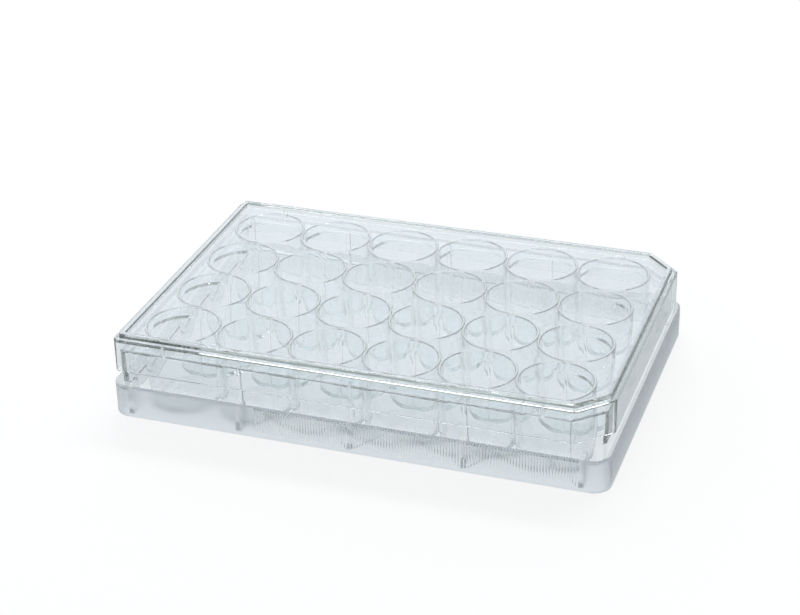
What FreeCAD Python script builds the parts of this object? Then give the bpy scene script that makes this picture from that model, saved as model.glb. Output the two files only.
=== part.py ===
"""Twenty-four well culture plate with its loose lid, each moulded in clear polystyrene.

Millimetres, +Z up.  X runs along the plate, with the chamfered end at +X.
The origin is on the table, under the middle of the base flange.
"""
import FreeCAD, Part
import math
import os

# base flange, the footprint that a plate carrier grips
flange_length = 127.76
flange_width = 85.48
flange_corner = 4.6
flange_height = 8.6
flange_wall = 1.3
flange_edge = 0.4

# plate body above the flange
end_ledge = 2.58             # from the flange's end face in to the body
side_ledge = 2.34            # from the flange's long side in to the body
body_wall = 1.2              # at the top edge
body_root = 1.45             # the same wall at the flange, drafted on the inside
body_edge = 0.25
body_chamfer = 6.8           # leg of the two cut corners
body_corner = 1.2
cut_edge = 0.6               # rounding where a cut corner meets a side
deck_thickness = 0.8         # deck between the body wall and the outer wells

# wells, cups that hang from the deck, each with a rim that stands above it
columns = 6
rows = 4
well_pitch = 19.3
array_offset = -0.7          # the array stands nearer the square end
rim_overlap = 0.05           # how far each rim reaches past half the pitch
rim_height = 20.2
rim_wall = 0.8
rim_edge = 0.2
rim_stand = 2.5              # rims above the top edge of the body wall
cup_foot = 0.6               # underside of the cups above the table
cup_floor = 1.1
cup_wall = 0.75
cup_draft = 1.0              # degrees, inside and outside
web_thickness = 0.6          # webs between neighbouring cups
web_foot = 2.0

# ribs that tie the flange and the body wall together at the long sides
rib_thickness = 1.3          # at the foot
rib_crest = 0.9
rib_foot = 0.6
rib_reach = 2.8              # from the body's outer face inwards
rib_columns = 1.5            # spacing, in wells

# grip serration on the long sides of the flange
grip_pitch = 0.72
grip_land = 0.18
grip_depth = 0.25
grip_length = 81.8
grip_end = 6.8               # from the chamfered end of the flange to the last groove
grip_foot = 1.3

# lid
lid_clearance = 0.7          # between the skirt and the body, each side
lid_rest_gap = 0.2           # what is left of it where the loose lid lies against the square end
lid_wall = 1.0
skirt_wall = 0.85            # the lid's wall at the foot of its skirt, drafted on the inside
lid_top = 0.95
lid_corner = 2.0
lid_edge = 0.35
vent_gap = 0.05              # between the well rims and the lid
skirt_depth = 8.0            # below the underside of the lid
skirt_edge = 0.25

# stacking bead on the lid
bead_inset = 1.3
bead_foot = 1.55
bead_crest = 1.1
bead_height = 1.15
bead_edge = 0.2

# vent nubs in the lid, which stand on the body wall beside the outer columns
nub_thickness = 0.7
nub_seat = 0.9
nub_gap = 0.05

body_length = flange_length - 2 * end_ledge
body_width = flange_width - 2 * side_ledge
body_top = rim_height - rim_stand
ledge_under = flange_height - flange_wall
deck_under = body_top - deck_thickness
floor_height = cup_foot + cup_floor
rim_radius = well_pitch / 2 + rim_overlap
front_row = (rows - 1) / 2 * well_pitch
outer_column = (columns - 1) / 2 * well_pitch


def point(x, y, z=0.0):
    return FreeCAD.Vector(x, y, z)


def rounded_wire(corners, z):
    """Closed wire at height z through (x, y, radius) corners, each rounded by a tangent arc."""
    edges = []
    ends = []
    count = len(corners)
    for index in range(count):
        x, y, radius = corners[index]
        here = point(x, y, z)
        before = point(*corners[index - 1][:2], z)
        after = point(*corners[(index + 1) % count][:2], z)
        back = (before - here).normalize()
        ahead = (after - here).normalize()
        half = back.getAngle(ahead) / 2
        reach = radius / math.tan(half)
        middle = (back + ahead).normalize()
        centre = here + middle * (radius / math.sin(half))
        ends.append((here + back * reach, centre - middle * radius, here + ahead * reach))
    for index in range(count):
        start, crown, stop = ends[index]
        edges.append(Part.Arc(start, crown, stop).toShape())
        edges.append(Part.makeLine(stop, ends[(index + 1) % count][0]))
    return Part.Wire(edges)


def cut_corner_wire(outward, centre_x, corner, z):
    """The body's outline moved outward: square corners at -X and chamfered ones at +X."""
    half_x = body_length / 2 + outward
    half_y = body_width / 2 + outward
    leg = body_chamfer + outward * (2 - math.sqrt(2))
    edge = max(cut_edge + outward * 0.4, 0.2)
    left = centre_x - half_x
    right = centre_x + half_x
    corners = [
        (left, -half_y, corner),
        (right - leg, -half_y, edge),
        (right, -half_y + leg, edge),
        (right, half_y - leg, edge),
        (right - leg, half_y, edge),
        (left, half_y, corner),
    ]
    return rounded_wire(corners, z)


def body_wire(inset, z):
    return cut_corner_wire(-inset, 0, max(body_corner - inset, 0.3), z)


def lid_wire(inset, z):
    outward = lid_clearance + lid_wall - inset
    shift = lid_clearance - lid_rest_gap
    return cut_corner_wire(outward, shift, max(lid_corner - inset, 0.3), z)


def flange_wire(inset, z):
    half_x = flange_length / 2 - inset
    half_y = flange_width / 2 - inset
    radius = flange_corner - inset
    corners = [(-half_x, -half_y, radius), (half_x, -half_y, radius)]
    corners += [(half_x, half_y, radius), (-half_x, half_y, radius)]
    return rounded_wire(corners, z)


def prism(wire, height):
    return Part.Face(wire).extrude(point(0, 0, height))


def tapered(lower, upper):
    return Part.makeLoft([lower, upper], True, True)


def flat_edges(shape, z):
    """Edges of the shape that lie in the level at height z."""
    return [e for e in shape.Edges if abs(e.BoundBox.ZMin - z) < 1e-4 and abs(e.BoundBox.ZMax - z) < 1e-4]


def revolved(profile):
    wire = Part.makePolygon([point(r, 0, z) for r, z in profile + profile[:1]])
    return Part.Face(wire).revolve(point(0, 0), point(0, 0, 1), 360)


def at_wells(shape):
    """One copy of the shape for each well, moved to its centre."""
    result = []
    for column in range(columns):
        for row in range(rows):
            twin = shape.copy()
            x = array_offset - outer_column + column * well_pitch
            twin.translate(point(x, row * well_pitch - front_row))
            result.append(twin)
    return result


def bore_radius(z):
    """Radius of the drafted inside of a well at height z."""
    return rim_radius - rim_wall - (rim_height - z) * math.tan(math.radians(cup_draft))


def cup():
    """Outside of one well: the cup below the deck and the bevelled rim above it."""
    neck = body_top - deck_thickness / 2
    foot_radius = bore_radius(floor_height) + cup_wall
    profile = [
        (0, cup_foot),
        (foot_radius, cup_foot),
        (bore_radius(neck) + cup_wall, neck),
        (rim_radius, neck),
        (rim_radius, rim_height - rim_edge),
        (rim_radius - rim_edge, rim_height),
        (0, rim_height),
    ]
    return revolved(profile)


def bore():
    """Inside of one well, with a bevelled mouth."""
    mouth = rim_height - rim_edge
    profile = [
        (0, floor_height),
        (bore_radius(floor_height), floor_height),
        (bore_radius(mouth), mouth),
        (bore_radius(mouth) + rim_edge, rim_height),
        (bore_radius(mouth) + rim_edge, rim_height + 1),
        (0, rim_height + 1),
    ]
    return revolved(profile)


def webs():
    """Thin upright webs along the rows and columns, which close the gaps between neighbouring cups."""
    tall = body_top - deck_thickness / 2 - web_foot
    half = web_thickness / 2
    result = []
    for column in range(columns):
        x = array_offset - outer_column + column * well_pitch
        corner = point(x - half, -front_row, web_foot)
        result.append(Part.makeBox(web_thickness, 2 * front_row, tall, corner))
    for row in range(rows):
        corner = point(array_offset - outer_column, row * well_pitch - front_row - half, web_foot)
        result.append(Part.makeBox(2 * outer_column, web_thickness, tall, corner))
    return result


def ribs():
    """Upright ribs at both long sides, each from behind the body wall out to the flange."""
    in_body = prism(body_wire(body_wall / 2, rib_foot), body_top - rib_foot)
    in_flange = prism(flange_wire(flange_wall / 2, rib_foot), flange_height - flange_wall / 2 - rib_foot)
    room = in_body.fuse(in_flange)
    outline = [
        (-rib_thickness / 2, rib_foot),
        (rib_thickness / 2, rib_foot),
        (rib_crest / 2, body_top),
        (-rib_crest / 2, body_top),
    ]
    inner = body_width / 2 - rib_reach
    wire = Part.makePolygon([point(array_offset + x, inner, z) for x, z in outline + outline[:1]])
    slab = Part.Face(wire).extrude(point(0, flange_width / 2 - inner))
    result = []
    for step in (-2, -1, 0, 1, 2):
        rib = slab.copy()
        rib.translate(point(step * rib_columns * well_pitch, 0))
        rib = rib.common(room)
        result.append(rib)
        result.append(rib.mirror(point(0, 0), point(0, 1, 0)))
    return result


def grips():
    """Cutters for the serration, one comb of upright V grooves for each long side."""
    face = flange_width / 2
    crest = face + grip_depth * grip_land / (grip_pitch - grip_land)
    count = round(grip_length / grip_pitch)
    stop = flange_length / 2 - grip_end
    start = stop - count * grip_pitch
    corners = [point(stop, crest + 1, grip_foot), point(start, crest + 1, grip_foot)]
    for index in range(count):
        corners.append(point(start + index * grip_pitch, crest, grip_foot))
        corners.append(point(start + (index + 0.5) * grip_pitch, face - grip_depth, grip_foot))
    corners.append(point(stop, crest, grip_foot))
    comb = prism(Part.makePolygon(corners + corners[:1]), flange_height)
    return [comb, comb.mirror(point(0, 0), point(0, 1, 0))]


def body():
    """Body wall with its bevelled top edge, and the deck, which runs round the outer wells only."""
    shoulder = body_top - body_edge
    shell = prism(body_wire(0, ledge_under), shoulder - ledge_under)
    shell = shell.fuse(tapered(body_wire(0, shoulder), body_wire(body_edge, body_top)))
    shell = shell.cut(tapered(body_wire(body_root, ledge_under), body_wire(body_wall, deck_under)))
    corner = point(array_offset - outer_column, -front_row, deck_under - 1)
    return shell.cut(Part.makeBox(2 * outer_column, 2 * front_row, deck_thickness + 2, corner))


def flange():
    """Hollow base flange, with the serration cut into its long sides."""
    shoulder = flange_height - flange_edge
    skirt = prism(flange_wire(0, 0), shoulder)
    skirt = skirt.fuse(tapered(flange_wire(0, shoulder), flange_wire(flange_edge, flange_height)))
    skirt = skirt.cut(prism(flange_wire(flange_wall, -1), ledge_under + 1))
    skirt = skirt.cut(prism(body_wire(body_wall, ledge_under - 1), flange_height))
    return skirt.cut(grips())


def make_plate():
    plate = flange().fuse([body()] + at_wells(cup()) + webs() + ribs())
    return plate.cut(at_wells(bore())).removeSplitter()


def nubs():
    """Vent nubs inside the skirt, each with its foot over the body wall's top edge."""
    under = rim_height + vent_gap
    foot = body_top + nub_gap
    depth = lid_clearance + nub_seat + lid_wall / 2
    front = -body_width / 2 - lid_clearance - lid_wall / 2
    result = []
    for x in (array_offset - outer_column, array_offset + outer_column):
        corner = point(x - nub_thickness / 2, front, foot)
        nub = Part.makeBox(nub_thickness, depth, under + lid_top / 2 - foot, corner)
        result.append(nub)
        result.append(nub.mirror(point(0, 0), point(0, 1, 0)))
    return result


def make_lid():
    under = rim_height + vent_gap
    top = under + lid_top
    foot = under - skirt_depth
    crest = top + bead_height
    lean = (bead_foot - bead_crest) / 2
    cap = prism(lid_wire(0, foot), top - foot)
    cap = cap.makeFillet(lid_edge, flat_edges(cap, top))
    cap = cap.cut(tapered(lid_wire(skirt_wall, foot), lid_wire(lid_wall, under)))
    cap = cap.makeFillet(skirt_edge, flat_edges(cap, foot))
    bead = tapered(lid_wire(bead_inset, top), lid_wire(bead_inset + lean, crest))
    inner_foot = bead_inset + bead_foot
    bead = bead.cut(tapered(lid_wire(inner_foot, top), lid_wire(inner_foot - lean, crest)))
    bead = bead.makeFillet(bead_edge, flat_edges(bead, crest))
    return cap.fuse([bead] + nubs()).removeSplitter()


def main():
    os.makedirs("parts", exist_ok=True)
    for name, shape in (("plate", make_plate()), ("lid", make_lid())):
        shape.exportStep("parts/" + name + ".step")
        print(name, shape.isValid(), len(shape.Solids), round(shape.Volume, 1), shape.BoundBox)


main()
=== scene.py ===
import bpy
import math
from mathutils import Matrix, Vector


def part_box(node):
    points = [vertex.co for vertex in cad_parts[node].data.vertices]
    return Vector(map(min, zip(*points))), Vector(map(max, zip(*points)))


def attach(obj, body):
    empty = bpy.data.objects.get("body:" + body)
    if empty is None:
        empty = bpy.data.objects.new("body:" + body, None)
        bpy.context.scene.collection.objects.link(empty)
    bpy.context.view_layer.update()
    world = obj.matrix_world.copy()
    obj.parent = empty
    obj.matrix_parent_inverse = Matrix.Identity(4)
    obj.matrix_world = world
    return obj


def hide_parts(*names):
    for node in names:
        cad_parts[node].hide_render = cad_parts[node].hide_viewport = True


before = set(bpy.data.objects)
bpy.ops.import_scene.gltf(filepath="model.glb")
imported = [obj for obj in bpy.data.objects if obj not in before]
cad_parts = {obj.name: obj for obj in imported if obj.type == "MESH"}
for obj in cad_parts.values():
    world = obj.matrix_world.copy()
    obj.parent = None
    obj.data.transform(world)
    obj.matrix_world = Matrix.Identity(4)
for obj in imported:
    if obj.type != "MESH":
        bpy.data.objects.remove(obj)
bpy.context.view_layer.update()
print("frame loaded:", sorted(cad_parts))

mm = 0.001


def activate(obj):
    bpy.ops.object.select_all(action="DESELECT")
    obj.select_set(True)
    bpy.context.view_layer.objects.active = obj


clearPlastic = {
    "colour": (0.975, 0.985, 0.99),
    "flowTint": (0.955, 0.972, 0.98),
    "flowSize": 9.0 * mm,
    "flowHeight": 0.0015 * mm,
    "roughness": 0.0,
    "clearness": 1.0,
}

frostedPlastic = {                         # the flange's front and chamfered end
    "colour": (0.87, 0.91, 0.95),
    "flowTint": (0.83, 0.88, 0.925),
    "flowSize": 0.25 * mm,
    "flowHeight": 0.006 * mm,
    "roughness": 0.42,
    "clearness": 0.88,                     # the rest of the light is scattered by the frosting
}

lightenedFrosting = {                           # painted light: a lighter, clearer copy of the frosting on the flange's back and square end and the grip's grooves, brightening the grooves and what shows through those sides
    "colour": (0.92, 0.95, 0.97),
    "flowTint": (0.88, 0.92, 0.945),
    "flowSize": 0.25 * mm,
    "flowHeight": 0.004 * mm,
    "roughness": 0.22,
    "clearness": 1.0,
}

dullEdge = {                               # the bevel round the flange's top
    "colour": (0.88, 0.92, 0.955),
    "flowTint": (0.84, 0.89, 0.93),
    "flowSize": 0.25 * mm,
    "flowHeight": 0.006 * mm,
    "roughness": 0.5,
    "clearness": 0.3,
}

polystyrene = {                            # what all of them share
    "refraction": 1.59,
    "flowDetail": 2.0,
    "depthColour": (0.70, 0.727, 0.703),   # what long paths through the plastic turn to
    "depthDensity": 30.0,                  # per metre
}


def newMaterial(name):
    material = bpy.data.materials.new(name)
    material.use_nodes = True
    nodes = material.node_tree.nodes
    links = material.node_tree.links
    return material, nodes, links, nodes["Principled BSDF"]


def addFinish(nodes, links, shader, look):
    shader.inputs["Roughness"].default_value = look["roughness"]
    shader.inputs["IOR"].default_value = polystyrene["refraction"]
    shader.inputs["Transmission Weight"].default_value = look["clearness"]
    place = nodes.new("ShaderNodeTexCoord")
    noise = nodes.new("ShaderNodeTexNoise")
    noise.inputs["Scale"].default_value = 1 / look["flowSize"]
    noise.inputs["Detail"].default_value = polystyrene["flowDetail"]
    bump = nodes.new("ShaderNodeBump")
    bump.inputs["Distance"].default_value = look["flowHeight"]
    blend = nodes.new("ShaderNodeMix")
    blend.data_type = "RGBA"
    factor, plain, tint = blend.inputs[0], blend.inputs[6], blend.inputs[7]   # a colour mix's sockets
    plain.default_value = (*look["colour"], 1)
    tint.default_value = (*look["flowTint"], 1)
    links.new(place.outputs["Object"], noise.inputs["Vector"])
    links.new(noise.outputs["Fac"], bump.inputs["Height"])
    links.new(bump.outputs["Normal"], shader.inputs["Normal"])
    links.new(noise.outputs["Fac"], factor)
    links.new(blend.outputs[2], shader.inputs["Base Color"])


def addDepth(nodes, links):
    depth = nodes.new("ShaderNodeVolumeAbsorption")
    depth.inputs["Color"].default_value = (*polystyrene["depthColour"], 1)
    depth.inputs["Density"].default_value = polystyrene["depthDensity"]
    links.new(depth.outputs[0], nodes["Material Output"].inputs["Volume"])


def makePlastic(name, look):
    material, nodes, links, shader = newMaterial(name)
    addFinish(nodes, links, shader, look)
    addDepth(nodes, links)
    return material


def addMaterials(piece, finish):
    for name, look in finish["materials"]:
        piece.data.materials.append(makePlastic(name, look))


surface = {                                # both mouldings' shading
    "mergeReach": 0.0005 * mm,
    "smoothAngle": math.radians(25),
    "flatWeight": 100,                     # flat faces keep their own normal
}


def smoothCopy(nodeName, pieceName):
    activate(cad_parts[nodeName])
    bpy.ops.object.duplicate()
    piece = bpy.context.view_layer.objects.active
    piece.name = pieceName
    piece.data.name = pieceName
    piece.parent = None
    bpy.ops.object.mode_set(mode="EDIT")
    bpy.ops.mesh.select_all(action="SELECT")
    bpy.ops.mesh.remove_doubles(threshold=surface["mergeReach"])
    bpy.ops.object.mode_set(mode="OBJECT")
    bpy.ops.mesh.customdata_custom_splitnormals_clear()
    bpy.ops.object.shade_smooth_by_angle(angle=surface["smoothAngle"])
    weigh = piece.modifiers.new("weigh", "WEIGHTED_NORMAL")
    weigh.mode = "FACE_AREA"
    weigh.weight = surface["flatWeight"]
    weigh.keep_sharp = True
    bpy.ops.object.modifier_apply(modifier="weigh")
    for key in [k for k in piece.keys() if k.startswith("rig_")]:   # the copy isn't a CAD node
        del piece[key]
    piece.data.materials.clear()
    return piece


plateFinish = {
    "materials": [
        ("clearPolystyrene", clearPlastic),
        ("frostedPolystyrene", frostedPlastic),
        ("lightenedFrostedPolystyrene", lightenedFrosting),
        ("dullPolystyrene", dullEdge),
    ],
    "flangeTop": 8.61 * mm,                # just over the flange's top edge
    "flangeFoot": 0.1 * mm,
    "flangeCorner": 4.6 * mm,
    "flangeSkin": 1.26 * mm,               # how deep from the outer face counts as the outside
    "back": 41.0 * mm,                     # the back side lies beyond this
    "squareEnd": -62.4 * mm,               # and the square end beyond this
    "gripEnd": 58.0 * mm,                  # grooves lie within this of the middle
    "grooveLean": 0.3,                     # a groove's face leans lengthwise by more than this
    "bevelLean": 0.3,                      # the bevel leans upward by more than this
    "ledgeLean": 0.9,                      # and the clear ledge inside it by more than this
}
clear, frosted, lightened, dull = range(len(plateFinish["materials"]))


def flangeDepth(place, high):              # how far inside the flange's rounded outline a place lies
    corner = plateFinish["flangeCorner"]
    over = Vector((abs(place.x) - high.x + corner, abs(place.y) - high.y + corner))
    outside = Vector((max(over.x, 0), max(over.y, 0))).length
    return corner - outside - min(max(over.x, over.y), 0)


def finishOf(face, top, high):
    lean = abs(face.normal.z)
    onFlange = plateFinish["flangeFoot"] < top < plateFinish["flangeTop"]
    if not onFlange or lean >= plateFinish["ledgeLean"]:
        return clear
    if flangeDepth(face.center, high) >= plateFinish["flangeSkin"]:
        return clear
    if lean > plateFinish["bevelLean"]:
        return dull
    inGrip = abs(face.normal.x) > plateFinish["grooveLean"] and abs(face.center.x) < plateFinish["gripEnd"]
    atBack = face.center.y > plateFinish["back"]
    atSquareEnd = face.center.x < plateFinish["squareEnd"]
    # painted light: the grooves, back and square end get the lighter copy of the frosting
    return lightened if inGrip or atBack or atSquareEnd else frosted


def frostFlange(piece):
    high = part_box("plate")[1]
    count = 0
    for face in piece.data.polygons:
        top = max(piece.data.vertices[i].co.z for i in face.vertices)
        face.material_index = finishOf(face, top, high)
        count += face.material_index != clear
    print("frosted faces:", count)


def makePlate():
    plate = smoothCopy("plate", "plateMoulding")
    addMaterials(plate, plateFinish)
    frostFlange(plate)
    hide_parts("plate")
    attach(plate, "root")


lidFinish = {
    "materials": [("clearLidPolystyrene", clearPlastic)],
}


def makeLid():
    lid = smoothCopy("lid", "lidMoulding")
    addMaterials(lid, lidFinish)
    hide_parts("lid")
    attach(lid, "root")


floorLook = {
    "size": 6.0,
    "colour": (0.80, 0.80, 0.80),
    "roughness": 0.7,
    "glow": 1.25,                          # keeps the pale floor white round the shadow
    "shadowDepth": 0.35,                   # the share of it that takes the shadow
    "paintedShadeThrough": (0.785, 0.82, 0.84),    # painted shade: a darker, bluish floor that only rays through the plastic see, standing in for the plate's shade beneath it
    "paintedReflection": (0.53, 0.57, 0.59),     # painted reflection: a darker floor seen only in the plastic's gloss, darkening its reflections
}


def makeFloor():
    bpy.ops.mesh.primitive_plane_add(size=floorLook["size"], location=(0, 0, 0))
    floor = bpy.context.object
    floor.name = "studioFloor"
    material, nodes, links, shader = newMaterial("paleFloor")
    shader.inputs["Base Color"].default_value = (*floorLook["colour"], 1)
    shader.inputs["Roughness"].default_value = floorLook["roughness"]
    shader.inputs["Specular IOR Level"].default_value = 0.0
    glow = nodes.new("ShaderNodeEmission")
    glow.inputs["Color"].default_value = (1, 1, 1, 1)
    glow.inputs["Strength"].default_value = floorLook["glow"]
    # painted shade: rays coming through the plastic see this darker floor colour instead of the white one
    pale = nodes.new("ShaderNodeEmission")
    pale.inputs["Color"].default_value = (*floorLook["paintedShadeThrough"], 1)
    path = nodes.new("ShaderNodeLightPath")
    # painted reflection: glossy rays see this darker floor instead of the white one
    reflectionPaint = nodes.new("ShaderNodeEmission")
    reflectionPaint.inputs["Color"].default_value = (*floorLook["paintedReflection"], 1)
    litFloor = nodes.new("ShaderNodeMixShader")
    litFloor.inputs[0].default_value = floorLook["shadowDepth"]
    withReflectionPaint = nodes.new("ShaderNodeMixShader")
    chosen = nodes.new("ShaderNodeMixShader")
    links.new(glow.outputs[0], litFloor.inputs[1])
    links.new(shader.outputs[0], litFloor.inputs[2])
    links.new(path.outputs["Is Glossy Ray"], withReflectionPaint.inputs[0])
    links.new(litFloor.outputs[0], withReflectionPaint.inputs[1])
    links.new(reflectionPaint.outputs[0], withReflectionPaint.inputs[2])
    links.new(path.outputs["Is Transmission Ray"], chosen.inputs[0])
    links.new(withReflectionPaint.outputs[0], chosen.inputs[1])
    links.new(pale.outputs[0], chosen.inputs[2])
    links.new(chosen.outputs[0], nodes["Material Output"].inputs["Surface"])
    floor.data.materials.append(material)


skyLook = [                                # colours by the sine of the height above level
    (0.0, (0.96, 1.01, 1.07)),
    (0.5, (0.68, 0.715, 0.75)),
    (0.866, (0.02, 0.02, 0.02)),
    (1.0, (0.73, 0.765, 0.81)),
]

skyPatches = [                             # each multiplies the sky; degrees, azimuth round from the back
    {"azimuth": -36, "elevation": 13, "inner": 18, "outer": 45, "level": 1.62},
    {"azimuth": 76, "elevation": 17, "inner": 23, "outer": 58, "level": 0.07},
    {"azimuth": 180, "elevation": 27, "inner": 21, "outer": 52, "level": 1.53},
]


def addPatch(nodes, links, place, patch):
    azimuth = math.radians(patch["azimuth"])
    elevation = math.radians(patch["elevation"])
    facing = nodes.new("ShaderNodeVectorMath")
    facing.operation = "DOT_PRODUCT"
    facing.inputs[1].default_value = (math.sin(azimuth) * math.cos(elevation),
                                      math.cos(azimuth) * math.cos(elevation), math.sin(elevation))
    fade = nodes.new("ShaderNodeMapRange")
    fade.interpolation_type = "SMOOTHSTEP"
    fade.inputs["From Min"].default_value = math.cos(math.radians(patch["outer"]))
    fade.inputs["From Max"].default_value = math.cos(math.radians(patch["inner"]))
    fade.inputs["To Min"].default_value = 1.0
    fade.inputs["To Max"].default_value = patch["level"]
    links.new(place.outputs["Generated"], facing.inputs[0])
    links.new(facing.outputs["Value"], fade.inputs["Value"])
    return fade.outputs["Result"]


def makeWorld():
    world = bpy.data.worlds.new("studioWorld")
    bpy.context.scene.world = world
    world.use_nodes = True
    nodes = world.node_tree.nodes
    links = world.node_tree.links
    background = nodes["Background"]
    place = nodes.new("ShaderNodeTexCoord")
    split = nodes.new("ShaderNodeSeparateXYZ")
    links.new(place.outputs["Generated"], split.inputs[0])
    sky = nodes.new("ShaderNodeValToRGB")
    stops = sky.color_ramp.elements
    while len(stops) < len(skyLook):
        stops.new(0.5)
    for stop, (height, colour) in zip(stops, skyLook):
        stop.position = height
        stop.color = (*colour, 1)
    links.new(split.outputs["Z"], sky.inputs["Fac"])
    levels = [addPatch(nodes, links, place, patch) for patch in skyPatches]
    strength = levels[0]
    for level in levels[1:]:
        product = nodes.new("ShaderNodeMath")
        product.operation = "MULTIPLY"
        links.new(level, product.inputs[0])
        links.new(strength, product.inputs[1])
        strength = product.outputs[0]
    links.new(sky.outputs["Color"], background.inputs["Color"])
    links.new(strength, background.inputs["Strength"])
    white = nodes.new("ShaderNodeBackground")
    white.inputs["Color"].default_value = (1, 1, 1, 1)
    path = nodes.new("ShaderNodeLightPath")
    chosen = nodes.new("ShaderNodeMixShader")
    links.new(path.outputs["Is Camera Ray"], chosen.inputs[0])
    links.new(background.outputs[0], chosen.inputs[1])
    links.new(white.outputs[0], chosen.inputs[2])
    links.new(chosen.outputs[0], nodes["World Output"].inputs["Surface"])


topBox = {
    "place": (0.0, 0.5, 0.7),
    "width": 0.8,
    "height": 0.15,
    "power": 2.4,
}


def makeLamp():
    data = bpy.data.lights.new("topBox", "AREA")
    data.shape = "RECTANGLE"
    data.size = topBox["width"]
    data.size_y = topBox["height"]
    data.energy = topBox["power"]
    lamp = bpy.data.objects.new("topBox", data)
    lamp.location = topBox["place"]
    lamp.rotation_euler = (-Vector(topBox["place"])).to_track_quat("-Z", "Y").to_euler()
    bpy.context.scene.collection.objects.link(lamp)


viewpoint = {
    "azimuth": 19.39,                      # degrees round from the front
    "elevation": 28.07,
    "roll": -1.26,
    "distance": 521.7 * mm,
    "target": (-6.38 * mm, 14.2 * mm, 10.0 * mm),
    "lens": 88.5,
    "sensorWidth": 36,
    "nearest": 10 * mm,
}


def makeCamera():
    data = bpy.data.cameras.new("camera")
    data.sensor_width = viewpoint["sensorWidth"]
    data.lens = viewpoint["lens"]
    data.clip_start = viewpoint["nearest"]
    camera = bpy.data.objects.new("camera", data)
    azimuth = math.radians(viewpoint["azimuth"])
    elevation = math.radians(viewpoint["elevation"])
    back = Vector((math.sin(azimuth) * math.cos(elevation), -math.cos(azimuth) * math.cos(elevation),
                   math.sin(elevation)))
    turn = (-back).to_track_quat("-Z", "Y").to_matrix().to_4x4()
    turn = turn @ Matrix.Rotation(math.radians(viewpoint["roll"]), 4, "Z")
    place = Vector(viewpoint["target"]) + back * viewpoint["distance"]
    camera.matrix_world = Matrix.Translation(place) @ turn
    bpy.context.scene.collection.objects.link(camera)
    bpy.context.scene.camera = camera


makePlate()
makeLid()
print("pieces made")
makeFloor()
makeWorld()
makeLamp()
makeCamera()
bpy.context.scene.view_settings.view_transform = "Standard"
lightBounces = 200                         # light runs a long way inside clear plastic
cycles = bpy.context.scene.cycles
cycles.max_bounces = lightBounces
cycles.transmission_bounces = lightBounces
cycles.glossy_bounces = lightBounces
print("studio made")
